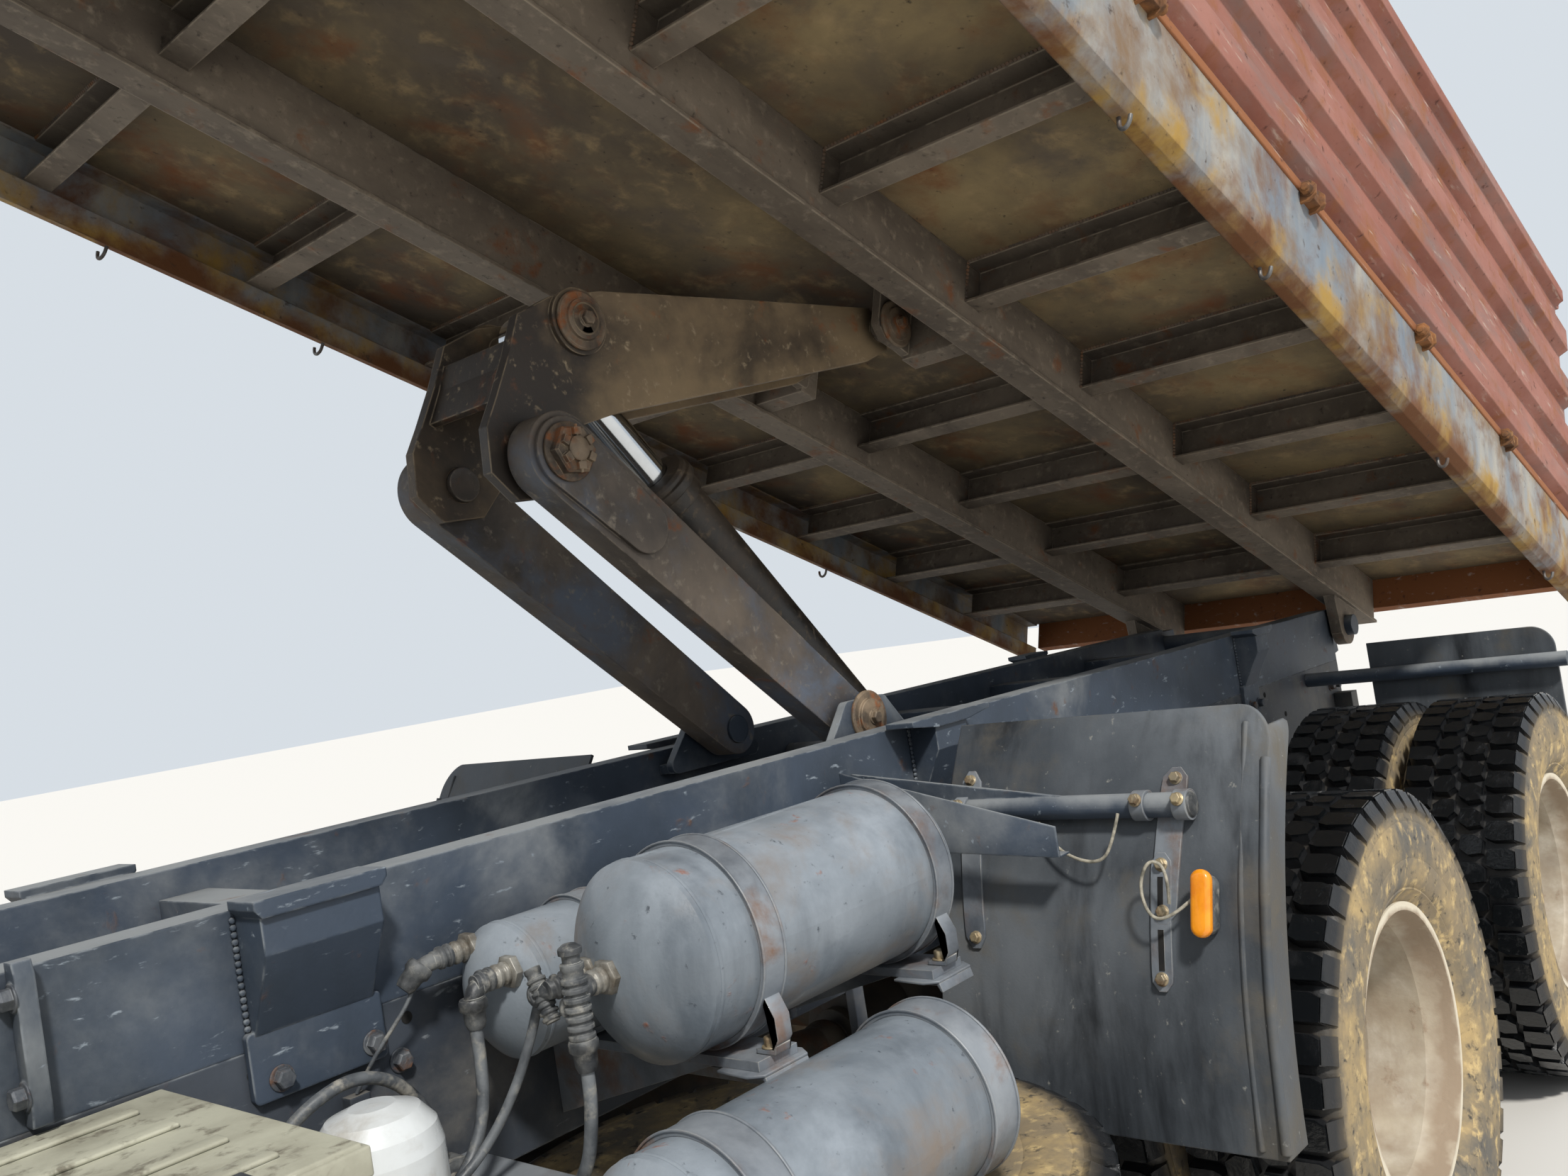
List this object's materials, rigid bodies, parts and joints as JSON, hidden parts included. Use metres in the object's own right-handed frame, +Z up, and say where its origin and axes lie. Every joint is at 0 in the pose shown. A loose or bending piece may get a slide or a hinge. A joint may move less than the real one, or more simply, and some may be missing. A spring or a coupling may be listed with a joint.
{
  "type": "dump truck",
  "caption": "Six wheel drive-tandem tipper truck with raised ribbed steel bed, scissor hoist with ram, tilting cab, steered front wheels and dual rear wheels",
  "frame": {"origin": "on the ground under the centre of the bounding box, bed raised as in the picture", "axes": "+X forward, +Y left, +Z up"},
  "size_m": [8.4642, 2.92, 5.2397],
  "materials": {
    "tyre": "worn tread",
    "wheel_paint": "dirty cream paint with rust",
    "frame_paint": "dusty dark blue grey",
    "black_steel": "greasy black",
    "hoist_paint": "grime over dark paint",
    "ram_paint": "greasy dark",
    "chromed_rod": "polished",
    "bed_under": "brown grey with rust",
    "bed_plate": "rusty ochre plate",
    "rail_paint": "flaking blue over cream and rust",
    "board_paint": "faded red orange",
    "tank_paint": "blue grey with rust spots",
    "band_steel": "weathered",
    "white_shell": "white",
    "dark_plastic": "dusty",
    "cab_paint": "off white",
    "glass": "clear",
    "seat_cloth": "woven",
    "lamp_lens": "amber and red",
    "head_lens": "clear",
    "cast": "oily",
    "silver_shell": "dull"
  },
  "bodies": {
    "chassis": {"frame_rails": "frame_paint", "frame_crosses": "frame_paint", "subframe_crosses": "frame_paint", "subframe": "frame_paint", "body_rests": "frame_paint", "axles": "black_steel", "leaf_springs": "black_steel", "prop_shafts": "black_steel", "engine_block": "cast", "fuel_tank": "silver_shell", "battery_box": "dark_plastic", "air_tanks": "tank_paint", "tank_straps": "band_steel", "air_dryer": "white_shell", "silencer": "silver_shell", "mudguards": "dark_plastic", "mudguard_stays": "frame_paint", "rear_bar": "frame_paint", "lamps": "lamp_lens", "bumper": "cab_paint", "headlamps": "head_lens", "spare_tyre": "tyre", "spare_rim": "wheel_paint", "spare_cradle": "frame_paint"},
    "cab": {"cab_shell": "cab_paint", "cab_glass": "glass", "cab_steps": "dark_plastic", "grille": "dark_plastic", "seats": "seat_cloth", "dashboard": "dark_plastic", "mirrors": "dark_plastic"},
    "door_left": {"door_left": "cab_paint", "door_glass_left": "glass"},
    "door_right": {"door_right": "cab_paint", "door_glass_right": "glass"},
    "knuckle_left": {"knuckle_left": "cast"},
    "knuckle_right": {"knuckle_right": "cast"},
    "wheel_front_left": {"tyre_front_left": "tyre", "rim_front_left": "wheel_paint"},
    "wheel_front_right": {"tyre_front_right": "tyre", "rim_front_right": "wheel_paint"},
    "wheels_a_left": {"tyres_a_left": "tyre", "rims_a_left": "wheel_paint"},
    "wheels_a_right": {"tyres_a_right": "tyre", "rims_a_right": "wheel_paint"},
    "wheels_b_left": {"tyres_b_left": "tyre", "rims_b_left": "wheel_paint"},
    "wheels_b_right": {"tyres_b_right": "tyre", "rims_b_right": "wheel_paint"},
    "hoist_arms": {"tension_arms": "hoist_paint"},
    "hoist_lever": {"hoist_lever": "hoist_paint"},
    "ram_barrel": {"ram_barrel": "ram_paint"},
    "ram_rod": {"ram_rod": "chromed_rod"},
    "bed": {"bed_grillage": "bed_under", "bed_crosses": "bed_under", "bed_floor": "bed_plate", "side_rails": "rail_paint", "side_boards": "board_paint", "headboard": "board_paint"},
    "tailgate": {"tailgate": "board_paint"}
  },
  "joints": [
    {"name": "bed_tip", "type": "hinge", "parent": "chassis", "child": "bed", "pos_m": [-3.44056, 0, 1.237], "axis": [0, -1, 0], "range_deg": [-21.1, 14]},
    {"name": "arms_swing", "type": "hinge", "parent": "chassis", "child": "hoist_arms", "pos_m": [-0.71156, 0, 1.329], "axis": [0, -1, 0], "range_deg": [-50.7, 33.7]},
    {"name": "lever_swing", "type": "hinge", "parent": "hoist_arms", "child": "hoist_lever", "pos_m": [0.02844, 0, 1.955], "axis": [0, -1, 0], "range_deg": [-38.3, 57.7]},
    {"name": "ram_swing", "type": "hinge", "parent": "chassis", "child": "ram_barrel", "pos_m": [-1.05656, 0, 1.212], "axis": [0, -1, 0], "range_deg": [-37.8, 25.1]},
    {"name": "ram_slide", "type": "slide", "parent": "ram_barrel", "child": "ram_rod", "axis": [0.6709, 0, 0.7416], "range_m": [-0.167, 0.111]},
    {"name": "tailgate_swing", "type": "hinge", "parent": "bed", "child": "tailgate", "pos_m": [-4.1981, 0, 2.33629], "axis": [0, 1, 0], "range_deg": [0, 60]},
    {"name": "cab_tilt", "type": "hinge", "parent": "chassis", "child": "cab", "pos_m": [3.99844, 0, 0.95], "axis": [0, 1, 0], "range_deg": [0, 55]},
    {"name": "door_left_swing", "type": "hinge", "parent": "cab", "child": "door_left", "pos_m": [3.87044, 1.24, 1.9], "axis": [0, 0, -1], "range_deg": [0, 70]},
    {"name": "door_right_swing", "type": "hinge", "parent": "cab", "child": "door_right", "pos_m": [3.87044, -1.24, 1.9], "axis": [0, 0, 1], "range_deg": [0, 70]},
    {"name": "steer_left", "type": "hinge", "parent": "chassis", "child": "knuckle_left", "pos_m": [2.69844, 0.838, 0.525], "axis": [0, 0, 1], "range_deg": [-35, 35]},
    {"name": "steer_right", "type": "hinge", "parent": "chassis", "child": "knuckle_right", "pos_m": [2.69844, -0.838, 0.525], "axis": [0, 0, 1], "range_deg": [-35, 35]},
    {"name": "wheel_front_left_spin", "type": "hinge", "parent": "knuckle_left", "child": "wheel_front_left", "pos_m": [2.69844, 1.015, 0.525], "axis": [0, 1, 0], "continuous": true},
    {"name": "wheel_front_right_spin", "type": "hinge", "parent": "knuckle_right", "child": "wheel_front_right", "pos_m": [2.69844, -1.015, 0.525], "axis": [0, 1, 0], "continuous": true},
    {"name": "wheels_a_left_spin", "type": "hinge", "parent": "chassis", "child": "wheels_a_left", "pos_m": [-1.07656, 0.92, 0.525], "axis": [0, 1, 0], "continuous": true},
    {"name": "wheels_a_right_spin", "type": "hinge", "parent": "chassis", "child": "wheels_a_right", "pos_m": [-1.07656, -0.92, 0.525], "axis": [0, 1, 0], "continuous": true},
    {"name": "wheels_b_left_spin", "type": "hinge", "parent": "chassis", "child": "wheels_b_left", "pos_m": [-2.47656, 0.92, 0.525], "axis": [0, 1, 0], "continuous": true},
    {"name": "wheels_b_right_spin", "type": "hinge", "parent": "chassis", "child": "wheels_b_right", "pos_m": [-2.47656, -0.92, 0.525], "axis": [0, 1, 0], "continuous": true}
  ],
  "couplings": [
    {"joint": "arms_swing", "follows": "bed_tip", "ratio": 2.4},
    {"joint": "lever_swing", "follows": "bed_tip", "ratio": -2.73},
    {"joint": "ram_swing", "follows": "bed_tip", "ratio": 1.79},
    {"joint": "ram_slide", "follows": "bed_tip", "m_per_rad": 0.45264},
    {"joint": "steer_right", "follows": "steer_left", "ratio": 1}
  ]
}
